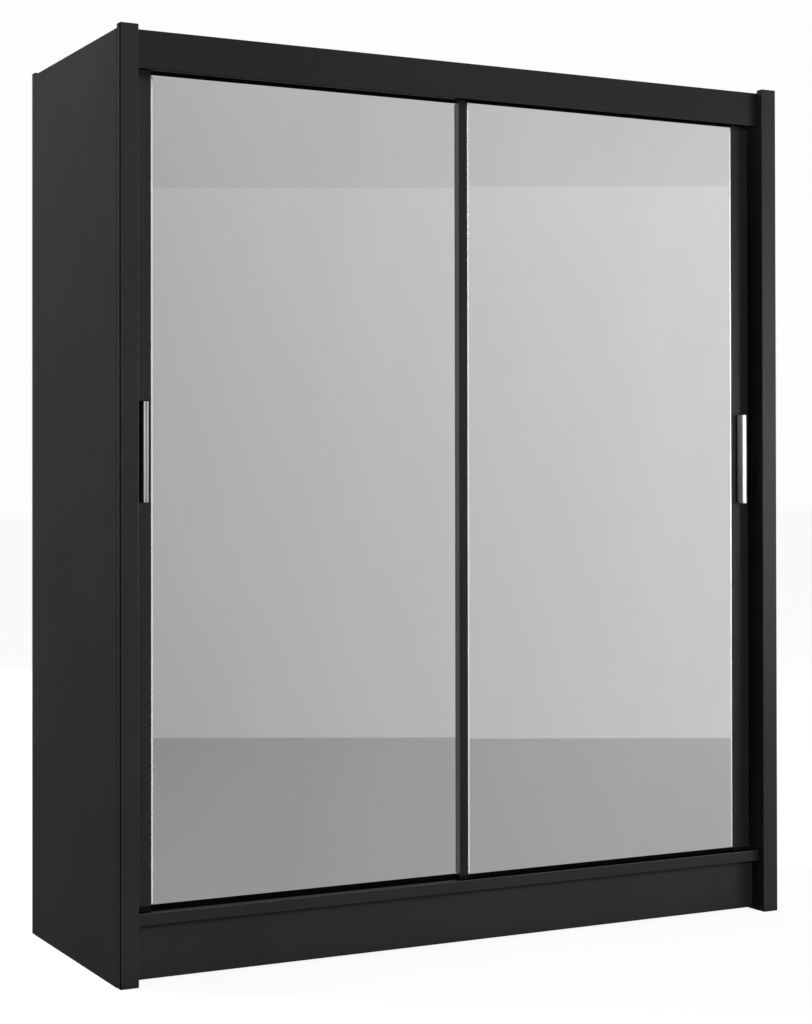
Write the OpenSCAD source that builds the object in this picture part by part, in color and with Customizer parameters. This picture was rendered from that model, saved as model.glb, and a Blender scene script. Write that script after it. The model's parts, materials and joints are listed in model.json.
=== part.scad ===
// Sliding door wardrobe with two mirrored doors.
// The front faces -Y, +X is to the right and +Z is up.
// The origin is the centre of the footprint, on the floor.

/* [Overall size] */
// width over the two front posts
overall_w = 1810; // [1400:10:2300]
// height to the top of the front posts
overall_h = 2150; // [1750:10:2600]
// depth from the post fronts to the backs of the rear posts
overall_d = 650; // [540:10:780]

/* [Boards] */
// thickness of the carcass boards
board_t = 18; // [15:0.5:22]
// width of the front and rear posts
post_w = 45; // [38:1:60]
// thickness of the front and rear posts
post_t = 22; // [16:1:30]
// thickness of the two back sheets
back_t = 3; // [2.5:0.5:6]
// height of the header between the posts
header_h = 87.5; // [78:0.5:110]
// height of the fascia in front of the lower track
fascia_h = 28; // [27:0.5:40]
// height of the underside of the bottom panel
bottom_z = 130.5; // [100:0.5:180]
// setback of the plinth from the post fronts
plinth_setback = 50; // [42:1:70]

/* [Doors] */
// thickness of a door frame
door_t = 18; // [18:0.5:24]
// free space between the two doors
door_gap = 3; // [2.5:0.5:8]
// setback of the front door from the post fronts
door_setback = 55.5; // [50:0.5:80]
// width of the stile that carries the handle
handle_stile_w = 51.2; // [48:0.1:70]
// width of the stile at the middle of the wardrobe
meeting_stile_w = 23; // [18:1:36]
// overlap of the two closed doors
door_overlap = 28; // [20:1:45]
// space between a door edge and the jamb
edge_gap = 5.2; // [4:0.1:9]
// thickness of the mirror glass
mirror_t = 4; // [3:0.5:5]
// outer diameter of a bottom wheel
wheel_d = 20; // [16:0.5:24]
// diameter of a wheel axle
axle_d = 4; // [3:0.5:5]

/* [Handles] */
// length of a handle
handle_len = 231; // [150:1:400]
// height of the middle of the sunk handle, on the rear door
sunk_handle_z = 1194.5; // [900:0.5:1300]
// height of the middle of the standing handle, on the front door
proud_handle_z = 1182; // [900:0.5:1300]
// how far the standing handle stands out
handle_out = 25; // [16:1:28]

/* [Inside] */
// space between the top panel and the board of the shelf above the hanging rail
hat_space = 274; // [200:2:420]
// diameter of the hanging rail
rail_d = 25; // [18:1:32]
// diameter of a shelf pin
pin_d = 5; // [4:0.5:7]
// distance between the two wall brackets
bracket_pitch = 1200; // [800:10:1280]

/* [Hidden] */

$fn = 48;

// colours
c_board = [0.20, 0.195, 0.19];
c_profile = [0.17, 0.17, 0.175];
c_black = [0.05, 0.05, 0.055];
c_silver = [0.78, 0.79, 0.80];
c_mirror = [0.75, 0.80, 0.82];
c_hdf = [0.42, 0.33, 0.25];
c_steel = [0.62, 0.63, 0.65];
c_nylon = [0.88, 0.88, 0.85];

// running space between pieces of different bodies, and space round a pin
run_gap = 0.3;
pin_gap = 0.05;

// depths, counted back from the post fronts
y_front = -overall_d / 2;
y_back = overall_d / 2;
y_header = y_front + post_t + 2;
y_panel = y_header + board_t;
y_fascia = y_front + post_t + 1;
y_plinth = y_front + plinth_setback;
y_right_door = y_front + door_setback;
y_left_door = y_right_door + door_t + door_gap;
y_jamb_end = y_left_door + door_t + 20;
y_partition = y_jamb_end + 3;
y_rear = y_back - post_t;

// widths
x_out = overall_w / 2;
x_side = x_out - board_t;
x_open = x_out - post_w;

// heights
side_top = overall_h - 10;
roof_z = side_top - board_t;
header_top = overall_h - 7;
header_z = header_top - header_h;
floor_z = bottom_z + board_t;
plinth_gap = 5;
rear_post_top = overall_h - 4;

// tracks
track_base = 1.5;
rib_h = 3;
fin_t = 2;
fin_h = 34;
roof_track_base = 2;
door_pitch = door_t + door_gap;
y_track = y_right_door - door_gap / 2 - fin_t / 2;
track_w = 2 * door_pitch + fin_t;

// doors
door_w = x_open - edge_gap + door_overlap / 2;
travel = 2 * x_open - 2 * edge_gap - door_w;
door_z = floor_z + track_base + 1.5;
cap_h = 12;
stile_z = door_z + cap_h;
door_top = roof_z - roof_track_base - fin_h - 2;
rail_x = handle_stile_w;
rail_w = door_w - handle_stile_w - meeting_stile_w;
lip_t = 1.4;
wall_t = 1.6;
groove = 4;
edge_play = 0.5;
top_lip = 29.5;
slot_y = lip_t;
mirror_y = lip_t + 0.2;
board_y = mirror_y + mirror_t + 0.2;
slot_end = door_t - 2.8;
backing_t = slot_end - board_y - 0.4;
glass_x = rail_x - groove + edge_play;
glass_w = rail_w + 2 * (groove - edge_play);
glass_z = door_z + cap_h / 2 + 1.2;
glass_top = door_top - top_lip + 5.6;

// wheels and their carriages
groove_depth = 2;
carriage_y = board_y + 0.2;
carriage_t = door_t - wall_t - 0.4 - carriage_y;
wheel_t = carriage_t - 5.6;
rib_w = 0.45 * wheel_t;
rib_play = 0.8;
wheel_z = floor_z + track_base + rib_h + run_gap + wheel_d / 2 - groove_depth;
carriage_w = 2.5 * wheel_d;
rib_y = carriage_y + carriage_t / 2;
carriage_top = wheel_z + wheel_d / 2 + 6;
wheel_outer_x = rail_x + 10 + carriage_w / 2;
wheel_inner_x = rail_x + rail_w - 10 - carriage_w / 2;
guide_len = 60;
guide_side_gap = 0.75;
guide_h = 22;

// handle sections
grip_w = 12.4;
grip_wall = 2.4;
cup_x0 = 22.5;
cup_x1 = handle_stile_w - groove - 0.6;
cup_wall = 0.6;
cup_depth = min(slot_end - 0.4, door_t - 2 * wall_t);
grip_x = handle_stile_w - 15.4 - grip_w;

sunk_w = 12.2;
base_t = 1.5;
base_lip = 4.5;
buffer_zs = [360, overall_h - 340];

// inside
flange_t = 3;
flange_len = 14;
flange_screw_r = rail_d / 2 + 6.5;
foot_ys = [y_plinth + board_t + 60, y_rear - 120];
hat_shelf_z = roof_z - hat_space - board_t;
pin_r = pin_d / 2;
pin_reach = 9;
pin_sink = min(7, board_t / 2 - 1.5);
shelf_gap = 1;
shelf_y = y_partition + 12;
shelf_levels = [for (i = [1:4]) floor_z + i * (hat_shelf_z - floor_z) / 4];
rail_z = hat_shelf_z - 55;
rail_y = (y_partition + y_rear) / 2;
pin_ys = [shelf_y + 60, y_rear - 70];

// wall brackets
bracket_w = 40;
bracket_leg = 42;
bracket_t = 2;
wall_hole_r = 3.25;
bracket_hole_z = roof_z - 26;
screw_r = 2;

// back sheets and their screws
sheet_z = bottom_z + 1;
sheet_top = side_top - 1;
strip_w = 30;
strip_t = 1.5;
back_screw_r = 1.5;
screw_len = 10;
screw_zs = [for (i = [0:6]) floor_z + 30 + i * (roof_z - floor_z - 60) / 6];
screw_xs = [for (side = [-1, 1], i = [0:4]) side * (40 + i * (x_open - 80) / 4)];
bracket_screw_y = 25;

module box(x0, x1, y0, y1, z0, z1) {
    translate([x0, y0, z0]) cube([x1 - x0, y1 - y0, z1 - z0]);
}

// a cylinder along X, from x0 to x1
module rod_x(x0, x1, y, z, r) {
    translate([x0, y, z]) rotate([0, 90, 0]) cylinder(h = x1 - x0, r = r);
}

// a cylinder along Y, from y0 to y1
module rod_y(x, y0, y1, z, r) {
    translate([x, y1, z]) rotate([90, 0, 0]) cylinder(h = y1 - y0, r = r);
}

// puts the right-hand twin of a piece in place
module twin(side) {
    if (side > 0) mirror([1, 0, 0]) children();
    else children();
}

// door coordinates: x from the handle edge to the middle, y back from the front
module at_left_door() {
    translate([-x_open + edge_gap, y_left_door, 0]) children();
}

module at_right_door() {
    translate([x_open - edge_gap, y_right_door, 0]) mirror([1, 0, 0]) children();
}

// ---------- carcass ----------

// blind holes for shelf pins in a face at x, running dir = -1 or 1 into the board
module pin_bores(x, dir, levels) {
    for (z = levels, y = pin_ys)
        rod_x(min(x - dir, x + dir * (pin_sink + 0.4)), max(x - dir, x + dir * (pin_sink + 0.4)),
            y, z - pin_r, pin_r + pin_gap);
}

module side_panel(side, levels) {
    color(c_board) twin(side) difference() {
        box(-x_out, -x_side, y_front + post_t, y_rear, 0, side_top);
        pin_bores(-x_side, -1, levels);
    }
}

module side_panel_left() { side_panel(-1, [hat_shelf_z]); }
module side_panel_right() { side_panel(1, shelf_levels); }

module front_post(side) {
    color(c_board) twin(side) box(-x_out, -x_open, y_front, y_front + post_t, 0, overall_h);
}

module front_post_left() { front_post(-1); }
module front_post_right() { front_post(1); }

module rear_post(side) {
    color(c_board) twin(side) difference() {
        box(-x_out, -x_open, y_rear, y_back, 0, rear_post_top);
        box(-x_side - board_t / 2, -x_open + 1, y_rear - 1, y_rear + back_t, sheet_z, side_top);
    }
}

module rear_post_left() { rear_post(-1); }
module rear_post_right() { rear_post(1); }

module jamb(side) {
    color(c_board) twin(side)
        box(-x_side, -x_open, y_front + post_t, y_jamb_end, 0, header_top);
}

module jamb_left() { jamb(-1); }
module jamb_right() { jamb(1); }

// a full-width board with its front corners cut out round the jambs
module notched_board(z0, z1) {
    difference() {
        box(-x_side, x_side, y_panel, y_rear, z0, z1);
        for (side = [-1, 1]) twin(side)
            box(-x_side - 1, -x_open, y_panel - 1, y_jamb_end, z0 - 1, z1 + 1);
    }
}

module top_panel() {
    color(c_board) difference() {
        notched_board(roof_z, side_top);
        edge_screw_holes(roof_z + board_t / 2);
        for (x = [-bracket_pitch / 2, bracket_pitch / 2])
            translate([x, y_rear - bracket_screw_y, roof_z - 1])
                cylinder(h = screw_len + 2, r = screw_r + pin_gap);
    }
}

module bottom_panel() {
    color(c_board) difference() {
        notched_board(bottom_z, floor_z);
        edge_screw_holes(bottom_z + board_t / 2);
    }
}

module centre_partition() {
    color(c_board) difference() {
        box(-board_t / 2, board_t / 2, y_partition, y_rear, floor_z, roof_z);
        pin_bores(board_t / 2, -1, shelf_levels);
        pin_bores(-board_t / 2, 1, [hat_shelf_z]);
        for (z = screw_zs) rod_y(0, y_rear - screw_len - 1, y_rear + 1, z, back_screw_r + pin_gap);
    }
}

module header() {
    color(c_board) box(-x_open, x_open, y_header, y_header + board_t, header_z, header_top);
}

module lower_fascia() {
    color(c_board)
        box(-x_open, x_open, y_fascia, y_panel, bottom_z, bottom_z + fascia_h);
}

module plinth() {
    color(c_board)
        box(-x_open, x_open, y_plinth, y_plinth + board_t, plinth_gap, bottom_z);
}

module rear_stretcher() {
    color(c_board) box(-x_side, x_side, y_rear - 40 - board_t, y_rear - 40, plinth_gap, bottom_z);
}

module top_track() {
    color(c_black) {
        box(-x_open, x_open, y_track, y_track + track_w, roof_z - roof_track_base, roof_z);
        for (i = [0:2])
            box(-x_open, x_open, y_track + i * door_pitch, y_track + i * door_pitch + fin_t,
                roof_z - roof_track_base - fin_h, roof_z - roof_track_base);
    }
}

module bottom_track() {
    color(c_black) {
        box(-x_open, x_open, y_track, y_track + track_w, floor_z, floor_z + track_base);
        for (y = [y_right_door + rib_y, y_left_door + rib_y])
            box(-x_open, x_open, y - rib_w / 2, y + rib_w / 2,
                floor_z + track_base, floor_z + track_base + rib_h);
    }
}

module edge_screw_holes(z) {
    for (x = screw_xs)
        rod_y(x, y_rear - screw_len - 1, y_rear + 1, z, back_screw_r + pin_gap);
}

// side -1 is the left sheet; its outer edge is held between side panel and rear post
module back_sheet(side) {
    color(c_hdf) twin(side) difference() {
        box(-x_side - board_t / 2 + 0.5, -0.5, y_rear, y_rear + back_t, sheet_z, sheet_top);
        for (x = screw_xs, z = [bottom_z + board_t / 2, roof_z + board_t / 2])
            rod_y(x, y_rear - 1, y_rear + back_t + 1, z, back_screw_r + pin_gap);
        for (z = screw_zs)
            rod_y(0, y_rear - 1, y_rear + back_t + 1, z, back_screw_r + pin_gap);
        rod_y(-bracket_pitch / 2, y_rear - 1, y_rear + back_t + 1, bracket_hole_z, wall_hole_r + 1);
    }
}

module back_sheet_left() { back_sheet(-1); }
module back_sheet_right() { back_sheet(1); }

module back_joint_strip() {
    color(c_black) difference() {
        box(-strip_w / 2, strip_w / 2, y_rear + back_t, y_rear + back_t + strip_t, sheet_z, sheet_top);
        for (z = screw_zs)
            rod_y(0, y_rear, y_rear + back_t + strip_t + 1, z, back_screw_r + pin_gap);
    }
}

// a pan head on a face at y, with its shank running towards the front
module back_screw(x, y, z) {
    rod_y(x, y, y + 1.8, z, 3.5);
    rod_y(x, y_rear - screw_len, y, z, back_screw_r);
}

module back_screws() {
    color(c_steel) {
        for (x = screw_xs, z = [bottom_z + board_t / 2, roof_z + board_t / 2])
            back_screw(x, y_rear + back_t, z);
        for (z = screw_zs) back_screw(0, y_rear + back_t + strip_t, z);
    }
}

// ---------- inside ----------

module hat_shelf() {
    color(c_board) box(-x_side + shelf_gap, -board_t / 2 - shelf_gap, shelf_y, y_rear - 1,
        hat_shelf_z, hat_shelf_z + board_t);
}

module shelf(i) {
    color(c_board) box(board_t / 2 + shelf_gap, x_side - shelf_gap, shelf_y, y_rear - 1,
        shelf_levels[i - 1], shelf_levels[i - 1] + board_t);
}

module shelf_1() { shelf(1); }
module shelf_2() { shelf(2); }
module shelf_3() { shelf(3); }
module shelf_4() { shelf(4); }

// pins in a face at x; dir is the way the free end points
module pins_at(x, dir, levels) {
    for (z = levels, y = pin_ys)
        rod_x(min(x - dir * pin_sink, x + dir * pin_reach),
            max(x - dir * pin_sink, x + dir * pin_reach), y, z - pin_r, pin_r);
}

module shelf_pins() {
    color(c_steel) {
        pins_at(-x_side, 1, [hat_shelf_z]);
        pins_at(-board_t / 2, -1, [hat_shelf_z]);
        pins_at(board_t / 2, 1, shelf_levels);
        pins_at(x_side, -1, shelf_levels);
    }
}

module hanging_rail() {
    color(c_steel) difference() {
        rod_x(-x_side + flange_t, -board_t / 2 - flange_t, rail_y, rail_z, rail_d / 2);
        rod_x(-x_side, 0, rail_y, rail_z, rail_d / 2 - 1.2);
    }
}

// a wall cup for the rail on a face at x; dir points into the bay
module rail_flange(x, dir) {
    x_disc = min(x, x + dir * flange_t);
    x_cup = min(x, x + dir * flange_len);
    difference() {
        union() {
            rod_x(x_disc, x_disc + flange_t, rail_y, rail_z, rail_d / 2 + 11);
            rod_x(x_cup, x_cup + flange_len, rail_y, rail_z, rail_d / 2 + 2.5);
        }
        rod_x(min(x + dir * flange_t, x + dir * (flange_len + 1)),
            max(x + dir * flange_t, x + dir * (flange_len + 1)),
            rail_y, rail_z, rail_d / 2 + pin_gap);
        for (s = [-1, 1])
            rod_x(x_disc - 1, x_disc + flange_t + 1, rail_y, rail_z + s * flange_screw_r,
                screw_r + pin_gap);
    }
}

module rail_flanges() {
    color(c_steel) {
        rail_flange(-x_side, 1);
        rail_flange(-board_t / 2, -1);
    }
}

module levelling_feet() {
    color(c_black) for (x = [-overall_w / 4, 0, overall_w / 4], y = foot_ys) {
        translate([x, y, 0]) cylinder(h = 14, r = 24);
        translate([x, y, 14]) cylinder(h = bottom_z - 14, r = 8);
    }
}

module wall_brackets() {
    color(c_steel) for (x = [-bracket_pitch / 2, bracket_pitch / 2]) difference() {
        union() {
            box(x - bracket_w / 2, x + bracket_w / 2, y_rear - bracket_t, y_rear,
                roof_z - bracket_leg, roof_z);
            box(x - bracket_w / 2, x + bracket_w / 2, y_rear - bracket_leg, y_rear,
                roof_z - bracket_t, roof_z);
        }
        rod_y(x, y_rear - bracket_t - 1, y_rear + 1, bracket_hole_z, wall_hole_r);
        translate([x, y_rear - bracket_screw_y, roof_z - bracket_t - 1])
            cylinder(h = bracket_t + 2, r = screw_r + pin_gap);
    }
}

module bracket_screws() {
    color(c_steel) for (x = [-bracket_pitch / 2, bracket_pitch / 2])
        translate([x, y_rear - bracket_screw_y, roof_z - bracket_t]) {
            cylinder(h = bracket_t + screw_len, r = screw_r);
            translate([0, 0, -2]) cylinder(h = 2, r = 4);
        }
}

module door_buffers() {
    color(c_black) for (side = [-1, 1], z = buffer_zs, y = [y_left_door, y_right_door])
        twin(side) rod_x(-x_open, -x_open + edge_gap - run_gap, y + door_t / 2, z, 5);
}

// ---------- doors ----------

module stile_groove(x) {
    box(x, x + groove + 1, slot_y, slot_end, stile_z - 1, door_top + 1);
}

// cup = true cuts the pocket for a sunk handle
module handle_stile(cup) {
    color(c_profile) difference() {
        box(0, handle_stile_w, 0, door_t, stile_z, door_top);
        box(wall_t, handle_stile_w - groove - wall_t, wall_t, door_t - wall_t,
            stile_z - 1, door_top + 1);
        stile_groove(handle_stile_w - groove);
        if (cup) box(cup_x0, cup_x1, -1, cup_depth,
            sunk_handle_z - handle_len / 2, sunk_handle_z + handle_len / 2);
    }
}

module meeting_stile() {
    x0 = door_w - meeting_stile_w;
    color(c_profile) difference() {
        box(x0, door_w, 0, door_t, stile_z, door_top);
        box(x0 + groove + wall_t, door_w - wall_t, wall_t, door_t - wall_t,
            stile_z - 1, door_top + 1);
        stile_groove(x0 - 1);
    }
}

module top_rail() {
    z0 = door_top - top_lip;
    color(c_profile) difference() {
        box(rail_x, rail_x + rail_w, 0, door_t, z0, door_top);
        box(rail_x - 1, rail_x + rail_w + 1, slot_y, slot_end, z0 - 1, glass_top + 1);
        box(rail_x - 1, rail_x + rail_w + 1, wall_t, door_t - wall_t,
            glass_top + 1 + wall_t, door_top - wall_t);
    }
}

module bottom_rail() {
    color(c_black) difference() {
        union() {
            box(rail_x, rail_x + rail_w, 0, lip_t, door_z, stile_z + 1);
            box(rail_x, rail_x + rail_w, 0, door_t, glass_z - 0.2 - wall_t, glass_z - 0.2);
            box(rail_x, rail_x + rail_w, door_t - wall_t, door_t, door_z, stile_z + 5);
        }
        for (x = [wheel_outer_x, wheel_inner_x])
            box(x - carriage_w / 2 - 1, x + carriage_w / 2 + 1, lip_t, door_t - wall_t,
                door_z - 1, glass_z + 1);
    }
}

module mirror_glass() {
    color(c_mirror) box(glass_x, glass_x + glass_w, mirror_y, mirror_y + mirror_t, glass_z, glass_top);
}

module backing_board() {
    color(c_board) difference() {
        box(glass_x, glass_x + glass_w, board_y, board_y + backing_t, glass_z, glass_top);
        for (x = [wheel_outer_x, wheel_inner_x])
            box(x - carriage_w / 2 - 1, x + carriage_w / 2 + 1, board_y - 1, door_t,
                glass_z - 1, carriage_top + 1);
    }
}

// black pocket of the sunk handle, open to the front
module handle_cup() {
    z0 = sunk_handle_z - handle_len / 2;
    color(c_black) difference() {
        box(cup_x0, cup_x1, 0, cup_depth, z0, z0 + handle_len);
        box(cup_x0 + cup_wall, cup_x1 - cup_wall, -1, cup_depth - cup_wall,
            z0 + cup_wall, z0 + handle_len - cup_wall);
    }
}

// sunk bar on the inner side of the pocket, with a shallow front groove
module sunk_handle() {
    x1 = cup_x1 - cup_wall;
    z0 = sunk_handle_z - handle_len / 2 + cup_wall;
    z1 = sunk_handle_z + handle_len / 2 - cup_wall;
    color(c_silver) difference() {
        box(x1 - sunk_w, x1, 0.2, cup_depth - cup_wall, z0, z1);
        box(x1 - 0.68 * sunk_w, x1 - 0.32 * sunk_w, -1, 2, z0 - 1, z1 + 1);
    }
}

module handle_base() {
    color(c_black) box(grip_x - base_lip, grip_x + grip_w + base_lip, -base_t, 0,
        proud_handle_z - handle_len / 2, proud_handle_z + handle_len / 2);
}

// channel section that stands out, open towards the handle edge
module proud_handle() {
    z0 = proud_handle_z - handle_len / 2;
    z1 = proud_handle_z + handle_len / 2;
    color(c_silver) {
        box(grip_x, grip_x + grip_w, -handle_out, -handle_out + grip_wall, z0, z1);
        box(grip_x + grip_w - grip_wall, grip_x + grip_w, -handle_out + grip_wall,
            -base_t - grip_wall, z0, z1);
        box(grip_x, grip_x + grip_w, -base_t - grip_wall, -base_t, z0, z1);
    }
}

// caps under both stiles, with a plug up into each hollow, a slot for the track
// rib, and room for the corners of the glass and the board
module end_caps() {
    x0 = door_w - meeting_stile_w;
    plug = wall_t + 0.1;
    half = rib_w / 2 + rib_play;
    color(c_black) difference() {
        union() {
            box(0, handle_stile_w, 0, door_t, door_z, stile_z);
            box(plug, handle_stile_w - groove - plug, plug, door_t - plug, stile_z, stile_z + 10);
            box(x0, door_w, 0, door_t, door_z, stile_z);
            box(x0 + groove + plug, door_w - plug, plug, door_t - plug, stile_z, stile_z + 10);
        }
        box(-1, door_w + 1, rib_y - half, rib_y + half, door_z - 1,
            floor_z + track_base + rib_h + rib_play);
        box(glass_x - 0.2, glass_x + glass_w + 0.2, slot_y, slot_end, glass_z, stile_z + 1);
    }
}

module top_guides() {
    half = (door_pitch - fin_t) / 2 - guide_side_gap;
    color(c_nylon) for (x = [rail_x + 20, rail_x + rail_w - 20 - guide_len])
        box(x, x + guide_len, door_t / 2 - half, door_t / 2 + half, door_top, door_top + guide_h);
}

module roller_carriages() {
    mid = carriage_y + carriage_t / 2;
    color(c_nylon) for (x = [wheel_outer_x, wheel_inner_x]) {
        difference() {
            box(x - carriage_w / 2, x + carriage_w / 2, carriage_y, carriage_y + carriage_t,
                wheel_z - wheel_d / 2 + 3, carriage_top);
            box(x - wheel_d / 2 - 1, x + wheel_d / 2 + 1, mid - wheel_t / 2 - 0.5,
                mid + wheel_t / 2 + 0.5, wheel_z - wheel_d, wheel_z + wheel_d / 2 + 1.2);
        }
        rod_y(x, carriage_y, carriage_y + carriage_t, wheel_z, axle_d / 2);
    }
}

// grooved wheel on its axle at x
module wheel(x) {
    y0 = carriage_y + (carriage_t - wheel_t) / 2;
    half = rib_w / 2 + 0.4;
    color(c_nylon) difference() {
        rod_y(x, y0, y0 + wheel_t, wheel_z, wheel_d / 2);
        difference() {
            rod_y(x, y0 + wheel_t / 2 - half, y0 + wheel_t / 2 + half, wheel_z, wheel_d / 2 + 1);
            rod_y(x, y0, y0 + wheel_t, wheel_z, wheel_d / 2 - groove_depth);
        }
        rod_y(x, y0 - 1, y0 + wheel_t + 1, wheel_z, axle_d / 2 + pin_gap);
    }
}

module left_door_handle_stile() { at_left_door() handle_stile(true); }
module left_door_meeting_stile() { at_left_door() meeting_stile(); }
module left_door_top_rail() { at_left_door() top_rail(); }
module left_door_bottom_rail() { at_left_door() bottom_rail(); }
module left_door_mirror() { at_left_door() mirror_glass(); }
module left_door_backing_board() { at_left_door() backing_board(); }
module left_door_handle() { at_left_door() sunk_handle(); }
module left_door_handle_cup() { at_left_door() handle_cup(); }
module left_door_end_caps() { at_left_door() end_caps(); }
module left_door_top_guides() { at_left_door() top_guides(); }
module left_door_roller_carriages() { at_left_door() roller_carriages(); }
module left_door_wheel_outer() { at_left_door() wheel(wheel_outer_x); }
module left_door_wheel_inner() { at_left_door() wheel(wheel_inner_x); }

module right_door_handle_stile() { at_right_door() handle_stile(false); }
module right_door_meeting_stile() { at_right_door() meeting_stile(); }
module right_door_top_rail() { at_right_door() top_rail(); }
module right_door_bottom_rail() { at_right_door() bottom_rail(); }
module right_door_mirror() { at_right_door() mirror_glass(); }
module right_door_backing_board() { at_right_door() backing_board(); }
module right_door_handle() { at_right_door() proud_handle(); }
module right_door_handle_base() { at_right_door() handle_base(); }
module right_door_end_caps() { at_right_door() end_caps(); }
module right_door_top_guides() { at_right_door() top_guides(); }
module right_door_roller_carriages() { at_right_door() roller_carriages(); }
module right_door_wheel_outer() { at_right_door() wheel(wheel_outer_x); }
module right_door_wheel_inner() { at_right_door() wheel(wheel_inner_x); }

side_panel_left();
side_panel_right();
front_post_left();
front_post_right();
rear_post_left();
rear_post_right();
jamb_left();
jamb_right();
top_panel();
bottom_panel();
centre_partition();
header();
lower_fascia();
plinth();
rear_stretcher();
top_track();
bottom_track();
back_sheet_left();
back_sheet_right();
back_joint_strip();
back_screws();
hat_shelf();
shelf_1();
shelf_2();
shelf_3();
shelf_4();
shelf_pins();
hanging_rail();
rail_flanges();
levelling_feet();
wall_brackets();
bracket_screws();
door_buffers();
left_door_handle_stile();
left_door_meeting_stile();
left_door_top_rail();
left_door_bottom_rail();
left_door_mirror();
left_door_backing_board();
left_door_handle();
left_door_handle_cup();
left_door_end_caps();
left_door_top_guides();
left_door_roller_carriages();
left_door_wheel_outer();
left_door_wheel_inner();
right_door_handle_stile();
right_door_meeting_stile();
right_door_top_rail();
right_door_bottom_rail();
right_door_mirror();
right_door_backing_board();
right_door_handle();
right_door_handle_base();
right_door_end_caps();
right_door_top_guides();
right_door_roller_carriages();
right_door_wheel_outer();
right_door_wheel_inner();
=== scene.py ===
# Sliding door wardrobe: looks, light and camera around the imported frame. Metres.
import json
import math
import bmesh
import bpy
from mathutils import Matrix, Vector


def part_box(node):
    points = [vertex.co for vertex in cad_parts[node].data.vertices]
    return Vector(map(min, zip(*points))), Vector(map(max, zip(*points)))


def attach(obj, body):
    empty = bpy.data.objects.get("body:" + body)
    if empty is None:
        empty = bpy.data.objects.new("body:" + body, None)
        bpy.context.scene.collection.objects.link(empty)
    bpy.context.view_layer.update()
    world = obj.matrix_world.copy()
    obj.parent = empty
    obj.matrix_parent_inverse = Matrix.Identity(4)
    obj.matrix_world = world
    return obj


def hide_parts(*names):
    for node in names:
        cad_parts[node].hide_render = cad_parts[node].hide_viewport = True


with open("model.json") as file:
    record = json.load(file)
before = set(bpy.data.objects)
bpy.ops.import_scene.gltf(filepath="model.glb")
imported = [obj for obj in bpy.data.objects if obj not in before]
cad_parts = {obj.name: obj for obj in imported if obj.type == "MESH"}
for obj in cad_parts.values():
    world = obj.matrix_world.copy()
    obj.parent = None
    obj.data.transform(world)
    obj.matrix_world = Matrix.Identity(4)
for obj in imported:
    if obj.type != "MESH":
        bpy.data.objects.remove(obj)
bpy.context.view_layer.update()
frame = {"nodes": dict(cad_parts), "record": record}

scene = bpy.context.scene
nodes = frame["nodes"]


# ---------- material helpers ----------

def srgb(*v):
    return tuple((c / 12.92 if c <= 0.04045 else ((c + 0.055) / 1.055) ** 2.4) for c in v) + (1.0,)


def grey(v, warm=0.0):
    return srgb(v + warm, v, v - warm)


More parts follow.
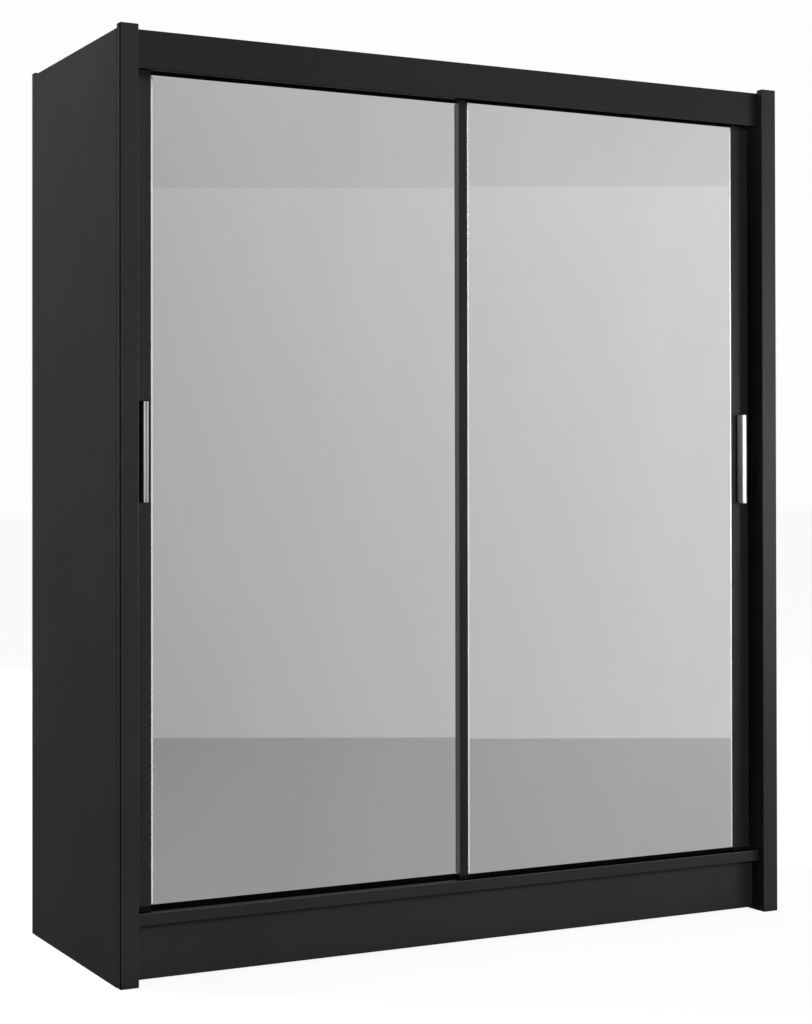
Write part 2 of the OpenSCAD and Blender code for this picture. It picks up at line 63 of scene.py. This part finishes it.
class Mat:
    """A Principled material with short helpers for procedural nodes."""

    def __init__(self, name):
        self.m = bpy.data.materials.new(name)
        self.m.use_nodes = True
        self.t = self.m.node_tree
        self.n = self.t.nodes
        self.b = self.n["Principled BSDF"]
        self.co = self.n.new("ShaderNodeTexCoord").outputs["Object"]

    def set(self, **kw):
        for k, v in kw.items():
            self.b.inputs[k.replace("_", " ")].default_value = v
        return self

    def link(self, a, b):
        self.t.links.new(a, b)
        return a

    def scaled(self, sx, sy, sz, src=None):
        mp = self.n.new("ShaderNodeMapping")
        mp.inputs["Scale"].default_value = (sx, sy, sz)
        self.link(src or self.co, mp.inputs["Vector"])
        return mp.outputs["Vector"]

    def noise(self, scale, detail=4.0, rough=0.55, vec=None, distortion=0.0):
        nd = self.n.new("ShaderNodeTexNoise")
        nd.inputs["Scale"].default_value = scale
        nd.inputs["Detail"].default_value = detail
        nd.inputs["Roughness"].default_value = rough
        nd.inputs["Distortion"].default_value = distortion
        self.link(vec or self.co, nd.inputs["Vector"])
        return nd.outputs["Fac"]

    def voronoi(self, scale, vec=None, feature="F1"):
        nd = self.n.new("ShaderNodeTexVoronoi")
        nd.feature = feature
        nd.inputs["Scale"].default_value = scale
        self.link(vec or self.co, nd.inputs["Vector"])
        return nd.outputs["Distance"]

    def ramp(self, fac, *stops):
        nd = self.n.new("ShaderNodeValToRGB")
        el = nd.color_ramp.elements
        while len(el) < len(stops):
            el.new(0.5)
        for e, (p, c) in zip(el, stops):
            e.position = p
            e.color = c if isinstance(c, tuple) else (c, c, c, 1.0)
        self.link(fac, nd.inputs["Fac"])
        return nd.outputs["Color"]

    def mul(self, a, k):
        nd = self.n.new("ShaderNodeMath")
        nd.operation = "MULTIPLY"
        self.link(a, nd.inputs[0])
        if isinstance(k, (int, float)):
            nd.inputs[1].default_value = k
        else:
            self.link(k, nd.inputs[1])
        return nd.outputs[0]

    def add(self, a, b):
        nd = self.n.new("ShaderNodeMath")
        nd.operation = "ADD"
        self.link(a, nd.inputs[0])
        self.link(b, nd.inputs[1])
        return nd.outputs[0]

    def mix(self, fac, a, b):
        nd = self.n.new("ShaderNodeMix")
        nd.data_type = "RGBA"
        self.link(fac, nd.inputs["Factor"])
        for s, v in ((6, a), (7, b)):
            if isinstance(v, tuple):
                nd.inputs[s].default_value = v
            else:
                self.link(v, nd.inputs[s])
        return nd.outputs[2]

    def span(self, fac, lo, hi):
        nd = self.n.new("ShaderNodeMapRange")
        nd.inputs["To Min"].default_value = lo
        nd.inputs["To Max"].default_value = hi
        self.link(fac, nd.inputs["Value"])
        return nd.outputs["Result"]

    def sep(self, src):
        nd = self.n.new("ShaderNodeSeparateXYZ")
        self.link(src, nd.inputs[0])
        return nd.outputs

    def step(self, src, lo, hi):
        """0 below lo, 1 above hi."""
        nd = self.n.new("ShaderNodeMapRange")
        nd.inputs["From Min"].default_value = lo
        nd.inputs["From Max"].default_value = hi
        self.link(src, nd.inputs["Value"])
        return nd.outputs["Result"]

    def outer_edge(self):
        """1 on the rounded front edge that points away from the middle of the wardrobe."""
        g = self.n.new("ShaderNodeNewGeometry").outputs
        nrm = self.sep(g["Normal"])
        away = self.mul(self.sep(g["Position"])["X"], nrm["X"])
        return self.step(self.mul(away, self.mul(nrm["Y"], -1.0)), 0.06, 0.26)

    def facing(self, way, lo, hi):
        """1 on faces that look up (way 1) or down (way -1)."""
        g = self.n.new("ShaderNodeNewGeometry").outputs
        return self.step(self.mul(self.sep(g["Normal"])["Z"], way), lo, hi)

    def color(self, out):
        self.link(out, self.b.inputs["Base Color"])
        return self

    def rough(self, out):
        self.link(out, self.b.inputs["Roughness"])
        return self

    def bump(self, height, strength, distance):
        nd = self.n.new("ShaderNodeBump")
        nd.inputs["Strength"].default_value = strength
        nd.inputs["Distance"].default_value = distance
        self.link(height, nd.inputs["Height"])
        self.link(nd.outputs["Normal"], self.b.inputs["Normal"])
        return self


SHADE_BAND_SHINE = 0.08  # share of the gloss that the very dark painted-shade faces keep


def laminate(name, lo, hi, warm=0.0, spec=0.25, shade_band=""):
    """Dark matt melamine: pressed pore, faint clouding, handling marks; the last argument names the faces
    that get painted shade, very dark.
    """
    m = Mat(name)
    cloud = m.noise(2.2, 5.0, 0.6)
    pore = m.noise(260.0, 3.0, 0.6, m.scaled(1.0, 1.0, 0.22))
    speck = m.voronoi(900.0)
    tone = m.add(m.mul(cloud, 0.75), m.mul(pore, 0.25))
    paint = m.ramp(tone, (0.30, grey(lo, warm)), (0.72, grey(hi, warm)))
    # painted shade: the posts' outer front edges, the fascia's flat top and the header's underside are
    # painted very dark to stand for the shadow lines and shaded faces there, and they keep little gloss
    if shade_band:
        painted_shade = m.ramp(tone, (0.30, grey(0.01)), (0.72, grey(0.02)))
        if shade_band == "outer":
            shade_mask = m.outer_edge()
        elif shade_band == "top":
            shade_mask = m.facing(1.0, 0.86, 0.97)
        else:
            shade_mask = m.facing(-1.0, 0.3, 0.7)
        paint = m.mix(shade_mask, paint, painted_shade)
        shine = m.span(shade_mask, spec, spec * SHADE_BAND_SHINE)
        if shade_band == "top":
            # the rounded edge below the flat top is the glossiest part
            shine = m.mul(m.span(m.facing(1.0, 0.15, 0.4), spec, 1.0), m.span(shade_mask, 1.0, SHADE_BAND_SHINE))
        m.link(shine, m.b.inputs["Specular IOR Level"])
    m.color(paint)
    smudge = m.noise(6.0, 6.0, 0.65, m.scaled(1.0, 1.0, 0.5))
    m.rough(m.span(m.add(m.mul(smudge, 0.7), m.mul(pore, 0.3)), 0.32, 0.46))
    m.bump(m.add(m.mul(pore, 0.7), m.mul(speck, 0.3)), 0.25, 0.0004)
    return m.m if shade_band else m.set(Specular_IOR_Level=spec).m


def powder(name, lo, hi, spec=0.4, painted_flank=False):
    """Powder-coated aluminium profile with an orange-peel bump; the last argument turns its sides into
    light metal as a painted highlight.
    """
    m = Mat(name)
    peel = m.noise(700.0, 2.0, 0.5)
    run = m.noise(14.0, 4.0, 0.6, m.scaled(1.0, 1.0, 0.08))
    paint = m.ramp(m.add(m.mul(run, 0.8), m.mul(peel, 0.2)), (0.28, grey(lo)), (0.72, grey(hi)))
    # painted highlight: the sides go light metal to stand for the bright reflection on the stile's flank
    if painted_flank:
        nx = m.sep(m.n.new("ShaderNodeNewGeometry").outputs["Normal"])["X"]
        flank = m.step(m.mul(nx, nx), 0.8, 0.97)
        paint = m.mix(flank, paint, m.ramp(run, (0.3, grey(0.50)), (0.7, grey(0.58))))
        m.link(m.mul(flank, 0.9), m.b.inputs["Metallic"])
    m.color(paint)
    m.rough(m.span(run, 0.26, 0.38))
    m.bump(peel, 0.3, 0.0003)
    return m.set(Specular_IOR_Level=spec).m


def moulded(name, lo, hi, rough=(0.45, 0.62), spec=0.35):
    """Moulded plastic with a spark-eroded grain."""
    m = Mat(name)
    grain = m.noise(1500.0, 2.0, 0.6)
    wear = m.noise(40.0, 5.0, 0.6)
    m.color(m.ramp(m.add(m.mul(wear, 0.7), m.mul(grain, 0.3)), (0.3, grey(lo)), (0.7, grey(hi))))
    m.rough(m.span(wear, *rough))
    m.bump(grain, 0.35, 0.0002)
    return m.set(Specular_IOR_Level=spec).m


def brushed(name, lo, hi, rough=(0.22, 0.38), stretch=(1.0, 1.0, 0.01), metal=1.0):
    """Satin metal with fine lines along its length."""
    m = Mat(name)
    line = m.noise(900.0, 3.0, 0.6, m.scaled(*stretch))
    blot = m.noise(18.0, 4.0, 0.6)
    m.color(m.ramp(m.add(m.mul(line, 0.6), m.mul(blot, 0.4)), (0.3, grey(lo)), (0.7, grey(hi))))
    m.rough(m.span(m.add(m.mul(line, 0.6), m.mul(blot, 0.4)), *rough))
    m.bump(line, 0.2, 0.0001)
    return m.set(Metallic=metal).m


def silvered(name):
    """Silvered glass: near perfect mirror with the faintest wiping haze."""
    m = Mat(name)
    haze = m.noise(3.0, 6.0, 0.6, m.scaled(1.0, 1.0, 0.4))
    m.color(m.ramp(haze, (0.3, (0.86, 0.88, 0.88, 1)), (0.7, (0.90, 0.915, 0.915, 1))))
    m.rough(m.span(haze, 0.001, 0.008))
    return m.set(Metallic=1.0).m


def hardboard(name):
    """Bare brown hardboard with pressed fibres."""
    m = Mat(name)
    fibre = m.noise(420.0, 5.0, 0.7, m.scaled(1.0, 1.0, 0.35), 0.6)
    blot = m.noise(9.0, 5.0, 0.6)
    m.color(m.ramp(m.add(m.mul(fibre, 0.6), m.mul(blot, 0.4)),
                   (0.30, srgb(0.33, 0.25, 0.18)), (0.52, srgb(0.44, 0.34, 0.25)),
                   (0.74, srgb(0.54, 0.43, 0.32))))
    m.rough(m.span(fibre, 0.62, 0.85))
    m.bump(fibre, 0.4, 0.0006)
    return m.set(Specular_IOR_Level=0.25).m


MATS = {
    # board is the laminate's own tone; post, fascia, plinth and side are copies of it painted lighter and
    # header a copy painted darker, as painted light and shade per part; the side is also a touch warmer, as
    # painted warm light
    "board": laminate("dark_laminate", 0.132, 0.160),
    "post": laminate("post_laminate", 0.148, 0.176, shade_band="outer"),
    "fascia": laminate("fascia_laminate", 0.142, 0.172, shade_band="top"),
    "header": laminate("header_laminate", 0.110, 0.134, shade_band="under"),
    "plinth": laminate("plinth_laminate", 0.150, 0.180),
    "side": laminate("side_laminate", 0.136, 0.166, 0.003),
    "track": brushed("black_anodised", 0.06, 0.10, (0.35, 0.5), (0.01, 1.0, 1.0)),
    "back_sheet": hardboard("hardboard"),
    "black_plastic": moulded("black_plastic", 0.025, 0.045, spec=0.12),
    "buffer": moulded("buffer_rubber", 0.05, 0.08, (0.6, 0.8), 0.25),
    "steel": brushed("zinc_steel", 0.66, 0.76, (0.25, 0.42), (1.0, 1.0, 1.0)),
    "door_profile": powder("door_profile", 0.135, 0.165, 0.24),
    # the meeting stile's light metal sides are a painted highlight
    "meeting": powder("meeting_profile", 0.115, 0.145, 0.16, True),
    # the rails' very dark tone is painted shade: the shadow under the header at the top and above the
    # fascia at the bottom
    "rail": powder("rail_painted_shade", 0.012, 0.022, 0.03),
    "mirror": silvered("mirror_glass"),
    "backing": moulded("backing_board", 0.30, 0.38, (0.6, 0.8), 0.2),
    "handle_metal": brushed("satin_aluminium", 0.86, 0.92, (0.24, 0.34), (1.0, 1.0, 0.01), 0.4),
    "nylon": moulded("nylon", 0.74, 0.82, (0.35, 0.5), 0.45),
    # flat white on the mirror bevel's sides is a painted highlight
    "glass_edge": moulded("mirror_bevel_painted_highlight", 0.97, 1.0, (0.20, 0.30), 0.6),
    # the mirror rim's very dark paint is a painted shadow line at the frame
    "edge_paint": moulded("mirror_rim_painted_shade", 0.03, 0.05, (0.5, 0.65), 0.3),
}

# each part here gets its lighter or darker laminate copy with painted light and shade, and the rails their
# painted shade
LOOK = {"side_panel_left": "side", "side_panel_right": "side", "lower_fascia": "fascia",
        "header": "header", "plinth": "plinth"}
for side in ("left", "right"):
    LOOK.update({f"front_post_{side}": "post", f"rear_post_{side}": "post",
                 f"{side}_door_meeting_stile": "meeting", f"{side}_door_top_rail": "rail",
                 f"{side}_door_bottom_rail": "rail"})

slot_of = {s["node"]: s["material_slot"] for s in frame["record"]["subparts"]}
for name, obj in nodes.items():
    mat = MATS[LOOK.get(name, slot_of[name])]
    for i in range(len(obj.data.materials)):
        obj.data.materials[i] = mat
    if not obj.data.materials:
        obj.data.materials.append(mat)


# ---------- softened edges on the real CAD solids ----------

def soften(name, width, segments=3):
    obj = nodes[name]
    weld = obj.modifiers.new("weld", "WELD")
    weld.merge_threshold = 0.00001
    bev = obj.modifiers.new("bevel", "BEVEL")
    bev.width = width
    bev.segments = segments
    bev.limit_method = "ANGLE"
    bev.angle_limit = math.radians(40)
    bev.harden_normals = False


BOARD_EDGE = 0.0009
PROFILE_EDGE = 0.0006
EDGE = {"front_post_left": 0.0022, "front_post_right": 0.0022, "lower_fascia": 0.0018, "header": 0.0013}
for name in nodes:
    if slot_of[name] == "board":
        soften(name, EDGE.get(name, BOARD_EDGE))
    elif slot_of[name] == "door_profile":
        soften(name, PROFILE_EDGE)


# ---------- pieces that stand for CAD nodes ----------

def piece(name, verts, faces, mats, face_mats=None, body="carcass", node=None):
    me = bpy.data.meshes.new(name)
    me.from_pydata([Vector(v) for v in verts], [], faces)
    for m in mats:
        me.materials.append(m)
    for i, k in enumerate(face_mats or []):
        me.polygons[i].material_index = k
    bm = bmesh.new()
    bm.from_mesh(me)
    bmesh.ops.recalc_face_normals(bm, faces=bm.faces)
    bm.to_mesh(me)
    bm.free()
    ob = bpy.data.objects.new(name, me)
    scene.collection.objects.link(ob)
    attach(ob, body)
    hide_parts(node)
    return ob


def pane(door):
    """Mirror glass: silvered field, a bevel round it whose left and right sides are flat white as a painted
    highlight while top and bottom stay mirror, and a dark rim at the frame that is a painted shadow line;
    the glass's back and edges share the rim's dark paint.
    """
    lo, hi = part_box(door + "_mirror")
    sides = [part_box(door + "_handle_stile"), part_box(door + "_meeting_stile")]
    left, right = sorted(sides, key=lambda b: b[0].x)
    x0, x1 = left[1].x, right[0].x
    z0, z1 = left[0].z + 0.001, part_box(door + "_top_rail")[0].z
    rim, bevel, drop = 0.0012, 0.0038, 0.0005
    rings = [(lo.x, hi.x, lo.z, hi.z, lo.y + drop)]
    for inset, y in ((rim, lo.y + drop), (rim + bevel, lo.y)):
        rings.append((x0 + inset, x1 - inset, z0 + inset, z1 - inset, y))
    verts = [(lo.x, hi.y, lo.z), (hi.x, hi.y, lo.z), (hi.x, hi.y, hi.z), (lo.x, hi.y, hi.z)]
    for a, b, c, d, y in rings:
        verts += [(a, y, c), (b, y, c), (b, y, d), (a, y, d)]
    faces, kinds = [(3, 2, 1, 0)], [2]
    for r, kind in ((0, 2), (4, 2), (8, 1)):
        for i in range(4):
            j = (i + 1) % 4
            faces.append((r + i, r + j, r + 4 + j, r + 4 + i))
            kinds.append(0 if r == 8 and i in (0, 2) else kind)
    faces.append((12, 13, 14, 15))
    kinds.append(0)
    # the bevel's flat white is a painted highlight and the rim's dark paint is a painted shadow line
    mats = [MATS["mirror"], MATS["glass_edge"], MATS["edge_paint"]]
    return piece(door + "_mirror_pane", verts, faces, mats, kinds, door, door + "_mirror")


def extrusion(name, section, z0, z1, mat, door, node, chamfer=0.0005):
    """A closed XY section run up between two heights, with slightly chamfered ends."""
    cx = sum(p[0] for p in section) / len(section)
    cy = sum(p[1] for p in section) / len(section)
    n = len(section)
    verts = []
    for z, k in ((z0, 1), (z0 + chamfer, 0), (z1 - chamfer, 0), (z1, 1)):
        for x, y in section:
            d = math.hypot(x - cx, y - cy)
            s = 1 - k * chamfer / d
            verts.append((cx + (x - cx) * s, cy + (y - cy) * s, z))
    faces = []
    for r in range(3):
        for i in range(n):
            j = (i + 1) % n
            faces.append((r * n + i, r * n + j, (r + 1) * n + j, (r + 1) * n + i))
    faces.append(tuple(range(n))[::-1])
    faces.append(tuple(range(3 * n, 4 * n)))
    ob = piece(name, verts, faces, [mat], None, door, node)
    for p in ob.data.polygons:
        p.use_smooth = True
    ob.data.set_sharp_from_angle(angle=math.radians(35))
    return ob


def rounded(points):
    """A section polygon from (x, y, radius) corners, each corner turned into an arc."""
    out = []
    n = len(points)
    for i, (x, y, r) in enumerate(points):
        p = Vector((x, y))
        a = (Vector(points[i - 1][:2]) - p).normalized()
        b = (Vector(points[(i + 1) % n][:2]) - p).normalized()
        if r <= 0:
            out.append((x, y))
            continue
        half = a.angle(b) / 2
        reach = r / math.tan(half)
        mid = p + (a + b).normalized() * (r / math.sin(half))
        s, e = p + a * reach - mid, p + b * reach - mid
        turn = s.angle_signed(e)
        for k in range(7):
            t = -turn * k / 6
            c, q = math.cos(t), math.sin(t)
            out.append((mid.x + s.x * c - s.y * q, mid.y + s.x * q + s.y * c))
    return out


def sunk_bar():
    """Handle in the rear door: a bar with two rounded ridges and a shallow channel between them."""
    lo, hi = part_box("left_door_handle")
    w = hi.x - lo.x
    a, b, f, g = lo.x + 0.36 * w, lo.x + 0.64 * w, lo.y, lo.y + 0.006
    section = rounded([(lo.x, hi.y, 0), (lo.x, f, 0.0014), (a, f, 0.0009), (a, g, 0.0006),
                       (b, g, 0.0006), (b, f, 0.0009), (hi.x, f, 0.0014), (hi.x, hi.y, 0)])
    return extrusion("left_door_handle_bar", section, lo.z, hi.z, MATS["handle_metal"],
                     "left_door", "left_door_handle")


def proud_channel():
    """Handle on the front door: a bent channel, open towards the door edge."""
    lo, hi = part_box("right_door_handle")
    t = 0.0024
    section = rounded([(lo.x, lo.y, 0.0016), (hi.x, lo.y, 0.0011), (hi.x, lo.y + t, 0.0010),
                       (lo.x + t, lo.y + t, 0.0010), (lo.x + t, hi.y - t, 0.0010),
                       (hi.x, hi.y - t, 0.0010), (hi.x, hi.y, 0.0006), (lo.x, hi.y, 0.0006)])
    return extrusion("right_door_handle_channel", section, lo.z, hi.z, MATS["handle_metal"],
                     "right_door", "right_door_handle")


pieces = [pane("left_door"), pane("right_door"), sunk_bar(), proud_channel()]

# the frame round the glass isn't mirrored in it
for ob in list(nodes.values()) + pieces:
    if ob.name.startswith(("right_door", "header", "top_", "lower_fascia", "bottom_")):
        ob.visible_glossy = False

# ---------- light, floor and room tones ----------

world = bpy.data.worlds.new("studio")
scene.world = world
world.use_nodes = True
wt = world.node_tree
bg = wt.nodes["Background"]
lp = wt.nodes.new("ShaderNodeLightPath")
sky_co = wt.nodes.new("ShaderNodeTexCoord")
sky_sep = wt.nodes.new("ShaderNodeSeparateXYZ")
sky_map = wt.nodes.new("ShaderNodeMapRange")
sky = wt.nodes.new("ShaderNodeValToRGB")
sky_map.inputs["From Min"].default_value = -1.0
sky_map.inputs["From Max"].default_value = 1.0
sky_stops = sky.color_ramp.elements
for e, (p, v) in zip([sky_stops[0], sky_stops.new(0.5), sky_stops[-1]],
                     ((0.0, 0.03), (0.5, 0.09), (1.0, 0.26))):
    e.position = p
    e.color = (v * 0.98, v, v * 1.02, 1)
wt.links.new(sky_co.outputs["Generated"], sky_sep.inputs[0])
wt.links.new(sky_sep.outputs["Z"], sky_map.inputs["Value"])
wt.links.new(sky_map.outputs["Result"], sky.inputs["Fac"])
wt.links.new(sky.outputs["Color"], bg.inputs["Color"])
bg.inputs["Strength"].default_value = 1.0
bg_cam = wt.nodes.new("ShaderNodeBackground")
bg_cam.inputs["Color"].default_value = (1, 1, 1, 1)
bg_cam.inputs["Strength"].default_value = 0.98
mixw = wt.nodes.new("ShaderNodeMixShader")
wt.links.new(lp.outputs["Is Camera Ray"], mixw.inputs[0])
wt.links.new(bg.outputs[0], mixw.inputs[1])
wt.links.new(bg_cam.outputs[0], mixw.inputs[2])
wt.links.new(mixw.outputs[0], wt.nodes["World Output"].inputs["Surface"])


def plane(name, corners, mat, place=None):
    me = bpy.data.meshes.new(name)
    back = place.inverted() if place else Matrix.Identity(4)
    me.from_pydata([back @ Vector(c) for c in corners], [], [(0, 1, 2, 3)])
    me.materials.append(mat)
    ob = bpy.data.objects.new(name, me)
    if place:
        ob.matrix_world = place
    scene.collection.objects.link(ob)
    return ob


floor_mat = Mat("floor")
paper = floor_mat.noise(1.2)
floor_mat.color(floor_mat.ramp(paper, (0.3, (0.13, 0.13, 0.13, 1)), (0.7, (0.14, 0.14, 0.14, 1))))
floor_mat.set(Roughness=0.9, Specular_IOR_Level=0.0, Emission_Color=(1, 1, 1, 1), Emission_Strength=0.90)
floor = plane("floor", [(-60, -60, 0), (60, -60, 0), (60, 60, 0), (-60, 60, 0)], floor_mat.m)
floor.visible_diffuse = False
floor.visible_glossy = False


def tone_mat(name, across, up=None):
    """Plain emission: one grey ramp along the object's X axis, times another along its Z axis."""
    m = bpy.data.materials.new(name)
    m.use_nodes = True
    t = m.node_tree
    t.nodes.clear()
    co = t.nodes.new("ShaderNodeTexCoord")
    sep = t.nodes.new("ShaderNodeSeparateXYZ")
    t.links.new(co.outputs["Object"], sep.inputs[0])

    def ramp(source, stops):
        lo, hi = stops[0][0], stops[-1][0]
        rng = t.nodes.new("ShaderNodeMapRange")
        nd = t.nodes.new("ShaderNodeValToRGB")
        rng.inputs["From Min"].default_value = lo
        rng.inputs["From Max"].default_value = hi
        t.links.new(sep.outputs[source], rng.inputs["Value"])
        t.links.new(rng.outputs["Result"], nd.inputs["Fac"])
        el = nd.color_ramp.elements
        while len(el) < len(stops):
            el.new(0.5)
        for e, (p, v) in zip(el, stops):
            e.position = (p - lo) / (hi - lo)
            e.color = (v, v, v, 1)
        return nd.outputs["Color"]

    out = ramp("X", across)
    if up:
        mul = t.nodes.new("ShaderNodeMix")
        mul.data_type = "RGBA"
        mul.blend_type = "MULTIPLY"
        mul.inputs["Factor"].default_value = 1.0
        t.links.new(out, mul.inputs[6])
        t.links.new(ramp("Z", up), mul.inputs[7])
        out = mul.outputs[2]
    em = t.nodes.new("ShaderNodeEmission")
    end = t.nodes.new("ShaderNodeOutputMaterial")
    t.links.new(out, em.inputs["Color"])
    t.links.new(em.outputs[0], end.inputs["Surface"])
    return m


def room(name, corners, mat, place=None):
    """A plane that only mirrors and glossy faces see."""
    ob = plane(name, corners, mat, place)
    ob.visible_camera = False
    ob.visible_diffuse = False
    ob.visible_shadow = False
    ob.visible_transmission = False
    ob.visible_volume_scatter = False
    return ob


# The mirrors look at a plain studio backdrop that stands square to the mirrored line of sight.
# Its tones are round values chosen for a plain studio, and none is read off the photo.
YAW = math.radians(27.42)
ux, uy = math.cos(YAW), math.sin(YAW)
BACK = Vector((1.7, -3.8, 0))
ROOM_TOP = 2.4
NEAR, FAR, WIDE = -0.36, -9, 9
frame_of_room = Matrix(((ux, -uy, 0, BACK.x), (uy, ux, 0, BACK.y), (0, 0, 1, 0), (0, 0, 0, 1)))


def wall_pt(u, z):
    return (BACK.x + u * ux, BACK.y + u * uy, z)


def level(z):
    return [(-WIDE, NEAR, z), (WIDE, NEAR, z), (WIDE, FAR, z), (-WIDE, FAR, z)]


# soft light that grows to the right and upwards
SWEEP = [(-3.0, 0.30), (1.5, 0.75), (6.0, 0.50)]
RISE = [(0.0, 0.85), (ROOM_TOP, 1.0)]


def dimmed(share):
    return [(x, v * share) for x, v in SWEEP]


room("room_wall", [wall_pt(-6, 0), wall_pt(6, 0), wall_pt(6, ROOM_TOP), wall_pt(-6, ROOM_TOP)],
     tone_mat("room_wall_tone", SWEEP, RISE), frame_of_room)
glow = room("room_glow", [wall_pt(1.62, 0.35), wall_pt(2.9, 0.35), wall_pt(2.9, 1.95), wall_pt(1.62, 1.95)],
            tone_mat("room_glow_tone", [(1.62, 3.4), (1.9, 3.8), (2.9, 3.2)],
                     [(0.35, 0.5), (1.15, 1.0), (1.95, 0.4)]), frame_of_room)
glow.location += Vector((uy, -ux, 0)) * -0.03
room("room_side", [wall_pt(-6, 0), (-7.5, -0.4, 0), (-7.5, -0.4, ROOM_TOP), wall_pt(-6, ROOM_TOP)],
     tone_mat("room_side_tone", [(-9.0, 0.5), (-3.6, 0.3)]))
room("room_floor", level(0.002), tone_mat("room_floor_tone", dimmed(0.6)), frame_of_room)
room("room_ceiling", level(ROOM_TOP), tone_mat("room_ceiling_tone", dimmed(0.9)), frame_of_room)


def aim(ob, direction):
    ob.rotation_euler = Vector(direction).to_track_quat("-Z", "Y").to_euler()
    ob.visible_camera = False
    ob.visible_glossy = False
    scene.collection.objects.link(ob)
    return ob


def sun(name, energy, angle, direction):
    li = bpy.data.lights.new(name, "SUN")
    li.energy = energy
    li.angle = math.radians(angle)
    return aim(bpy.data.objects.new(name, li), direction)


def area(name, energy, size, place, target, tint=(1, 1, 1)):
    li = bpy.data.lights.new(name, "AREA")
    li.shape = "RECTANGLE"
    li.size, li.size_y = size
    li.energy = energy
    li.color = tint
    ob = bpy.data.objects.new(name, li)
    ob.location = place
    return aim(ob, Vector(target) - Vector(place))


sun("top_light", 0.35, 50, (0.0, 0.0, -1.0))
sun("window_light", 1.1, 22, (-0.62, 0.77, -0.34))
area("side_softbox", 235, (1.4, 1.4), (-3.3, 2.0, 2.9), (-0.9, 0.1, 1.4), (1.0, 0.965, 0.89))
area("key_softbox", 245, (1.6, 1.6), (0.5, -7.7, 3.2), (0.0, -0.3, 1.1))
post_light = area("right_softbox", 2.2, (0.5, 0.7), (2.6, -3.2, 1.25), (0.89, -0.3, 1.25))
post_light.data.spread = math.radians(26)
area("back_softbox", 170, (2.0, 2.0), (1.5, 7.0, 2.2), (0.0, 0.3, 1.1))

# ---------- camera ----------

cam_data = bpy.data.cameras.new("camera")
cam = bpy.data.objects.new("camera", cam_data)
scene.collection.objects.link(cam)
scene.camera = cam
cam_data.sensor_fit = "AUTO"
SENSOR = 36.0
FRAME_H = 1024  # the picture's height, in the units of the two values below
FOCAL, CENTRE_Y = 2064.34, 460.84
cam_data.sensor_width = SENSOR
cam_data.lens = FOCAL / FRAME_H * SENSOR
cam_data.shift_y = -(FRAME_H / 2 - CENTRE_Y) / FRAME_H
cam_data.clip_start = 0.05
cam_data.clip_end = 300
pitch, roll = math.radians(0.46), math.radians(-0.09)
fwd = Vector((math.sin(YAW) * math.cos(pitch), math.cos(YAW) * math.cos(pitch), math.sin(pitch)))
right = Vector((math.cos(YAW), -math.sin(YAW), 0))
up = right.cross(fwd)
r2 = math.cos(roll) * right + math.sin(roll) * up
u2 = -math.sin(roll) * right + math.cos(roll) * up
mw = Matrix((r2, u2, -fwd)).transposed().to_4x4()
mw.translation = Vector((-2.4512, -4.68445, 1.1354))
cam.matrix_world = mw

scene.view_settings.view_transform = "Standard"
scene.view_settings.look = "None"
